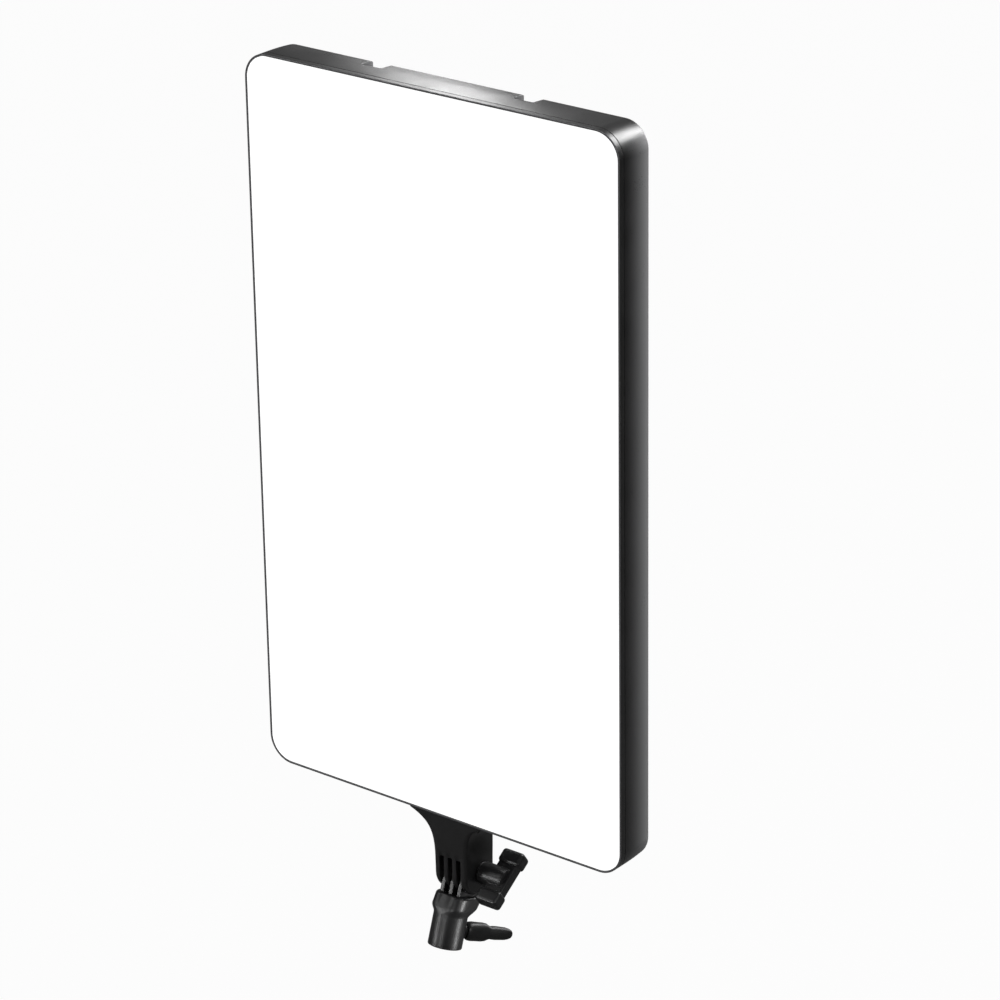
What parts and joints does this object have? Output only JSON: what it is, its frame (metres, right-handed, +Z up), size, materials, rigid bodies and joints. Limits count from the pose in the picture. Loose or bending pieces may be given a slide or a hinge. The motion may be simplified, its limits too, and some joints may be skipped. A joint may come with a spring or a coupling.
{
  "type": "led panel light",
  "caption": "Slim upright photo light panel with an opal front, rear dimmer controls and a tilting socket that clamps on a light stand.",
  "frame": {"origin": "centre of the seat, the floor of the stand socket's blind bore, where the end of the stand's spigot bears", "axes": "+Z up along the panel's height, +X across the panel with the tilt knob on the +X side, the lit face looks along -Y; at rest the panel is upright and the socket's open end leans 19.2 degrees towards the lit side"},
  "size_m": [0.2962, 0.056, 0.6038],
  "materials": {
    "aluminium": "mill finish",
    "bezel_black": "satin moulded black",
    "black_plastic": "fine moulded texture, near black",
    "black_steel": "black oxide",
    "black_wire": "insulation",
    "brass": "turned",
    "capacitor_sleeve": "printed sleeve, blank",
    "connector_white": "natural nylon",
    "copper": "enamelled winding",
    "foam_tape": "black foam tape",
    "green_board": "green solder mask",
    "led_board": "white solder mask",
    "opal": "opal acrylic, lit from behind",
    "red_wire": "insulation",
    "rubber": "moulded",
    "smoked_window": "polished smoked plastic",
    "steel": "zinc plated",
    "white_film": "white reflector sheet"
  },
  "bodies": {
    "stand_bracket": {"stand_socket": "black_plastic", "lock_insert": "black_steel"},
    "tilt_washer": {"tilt_washer": "black_steel"},
    "tilt_knob": {"tilt_knob": "black_plastic", "tilt_knob_nut": "brass"},
    "lock_pad": {"lock_pad": "brass"},
    "lock_screw": {"lock_screw": "black_plastic", "lock_stud": "steel"},
    "brightness_knob": {"brightness_knob": "black_plastic", "brightness_shaft": "steel"},
    "colour_knob": {"colour_knob": "black_plastic", "colour_shaft": "steel"},
    "power_rocker": {"power_rocker": "black_plastic"},
    "mode_button": {"mode_button": "rubber"},
    "channel_button": {"channel_button": "rubber"},
    "light_panel": {"brightness_encoder": "steel", "capacitor": "capacitor_sleeve", "choke": "copper", "colour_encoder": "steel", "control_panel": "black_plastic", "cover_screw_1": "black_steel", "cover_screw_2": "black_steel", "cover_screw_3": "black_steel", "cover_screw_4": "black_steel", "dc_jack": "black_plastic", "diffuser_panel": "opal", "diffuser_tape": "foam_tape", "display_module": "rubber", "display_window": "smoked_window", "driver_board": "green_board", "front_bezel": "bezel_black", "harness_negative": "black_wire", "harness_positive": "red_wire", "hinge_bolt": "steel", "housing_screw_1": "black_steel", "housing_screw_2": "black_steel", "housing_screw_3": "black_steel", "housing_screw_4": "black_steel", "housing_screw_5": "black_steel", "housing_screw_6": "black_steel", "housing_screw_7": "black_steel", "housing_screw_8": "black_steel", "led_plate": "aluminium", "led_strip_1": "led_board", "led_strip_2": "led_board", "led_strip_3": "led_board", "led_strip_4": "led_board", "led_strip_5": "led_board", "led_strip_6": "led_board", "neck_bracket": "black_plastic", "neck_plate": "steel", "neck_screw_1": "black_steel", "neck_screw_2": "black_steel", "output_connector": "connector_white", "plate_screw_1": "steel", "plate_screw_2": "steel", "power_switch_body": "black_plastic", "rear_housing": "black_plastic", "reflector_frame": "white_film", "sensor_window": "smoked_window"}
  },
  "joints": [
    {"name": "panel_tilt", "type": "hinge", "parent": "stand_bracket", "child": "light_panel", "pos_m": [0, 0.01483, 0.02131], "axis": [1, 0, 0], "range_deg": [-109.2, 70.8]},
    {"name": "tilt_knob_travel", "type": "slide", "parent": "light_panel", "child": "tilt_washer", "axis": [1, 0, 0], "range_m": [0, 0.002]},
    {"name": "tilt_knob_turn", "type": "hinge", "parent": "tilt_washer", "child": "tilt_knob", "pos_m": [0, 0.01483, 0.02131], "axis": [1, 0, 0], "range_deg": [0, 721]},
    {"name": "lock_screw_travel", "type": "slide", "parent": "stand_bracket", "child": "lock_pad", "axis": [0.4695, 0.8338, -0.2904], "range_m": [0, 0.003]},
    {"name": "lock_screw_turn", "type": "hinge", "parent": "lock_pad", "child": "lock_screw", "pos_m": [0, -0.00608, -0.01747], "axis": [0.4695, 0.8338, -0.2904], "range_deg": [0, 1081]},
    {"name": "brightness_turn", "type": "hinge", "parent": "light_panel", "child": "brightness_knob", "pos_m": [-0.02, 0.02783, 0.17161], "axis": [0, 1, 0], "continuous": true},
    {"name": "colour_turn", "type": "hinge", "parent": "light_panel", "child": "colour_knob", "pos_m": [0.02, 0.02783, 0.17161], "axis": [0, 1, 0], "continuous": true},
    {"name": "power_rock", "type": "hinge", "parent": "light_panel", "child": "power_rocker", "pos_m": [-0.019, 0.02023, 0.13461], "axis": [1, 0, 0], "range_deg": [-18, 0]},
    {"name": "mode_press", "type": "slide", "parent": "light_panel", "child": "mode_button", "axis": [0, -1, 0], "range_m": [0, 0.0008], "stiffness_N_per_m": 400},
    {"name": "channel_press", "type": "slide", "parent": "light_panel", "child": "channel_button", "axis": [0, -1, 0], "range_m": [0, 0.0008], "stiffness_N_per_m": 400}
  ],
  "couplings": [
    {"joint": "tilt_knob_turn", "follows": "tilt_knob_travel", "rad_per_m": 6283.2},
    {"joint": "lock_screw_turn", "follows": "lock_screw_travel", "rad_per_m": 6283.2}
  ]
}
